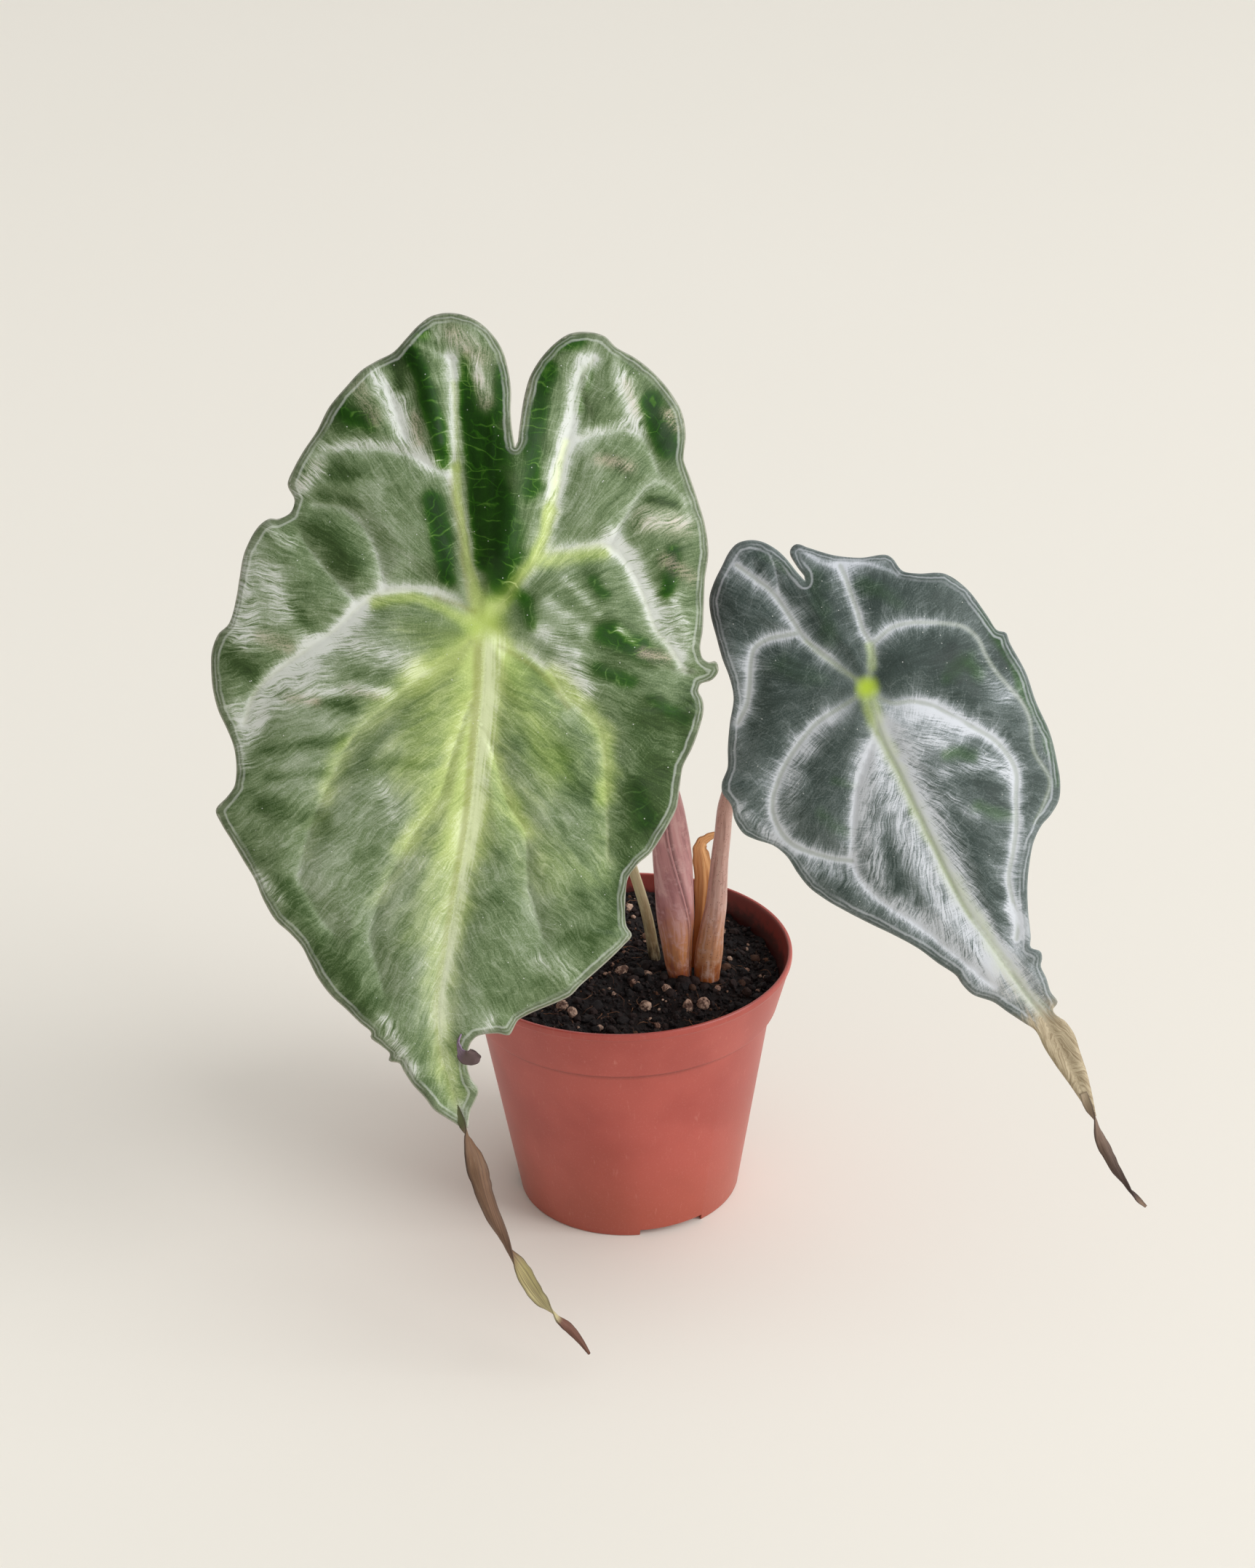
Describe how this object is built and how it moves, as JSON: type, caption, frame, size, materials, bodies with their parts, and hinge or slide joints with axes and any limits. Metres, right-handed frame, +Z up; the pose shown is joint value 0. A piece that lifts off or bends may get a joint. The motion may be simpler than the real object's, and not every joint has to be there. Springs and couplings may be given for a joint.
{
  "type": "potted alocasia plant",
  "caption": "Alocasia with broad arrow-shaped veined leaves, dry twisted drip tips and clasping stalks, rooted in dark soil in a round tapered nursery pot.",
  "frame": {"origin": "centre of the pot's foot, on the surface it stands on", "axes": "+Z up along the pot's axis, -Y the front that the leaves face, +X to the right seen from the front"},
  "size_m": [0.2972, 0.1837, 0.3323],
  "materials": {
    "pot": "satin moulded plastic, terracotta red",
    "soil": "moist dark peat with pumice grains",
    "left_blade": "satin leaf, yellow-green centre to dark green with silver feathering",
    "right_blade": "satin leaf, dark grey-green with broad silver veins",
    "left_stalk": "satin mauve-pink stalk, brown at the foot",
    "right_stalk": "satin pink-beige speckled stalk, orange-brown at the foot",
    "slim_stalk": "satin pale yellow-green stalk",
    "dry_sheath": "dry papery sheath, orange-tan"
  },
  "bodies": {
    "root": {"pot": "pot", "soil": "soil", "leaf_left_blade": "left_blade", "leaf_left_stalk": "left_stalk", "leaf_right_blade": "right_blade", "leaf_right_stalk": "right_stalk", "slim_stalk": "slim_stalk", "dry_sheath": "dry_sheath"}
  },
  "joints": []
}
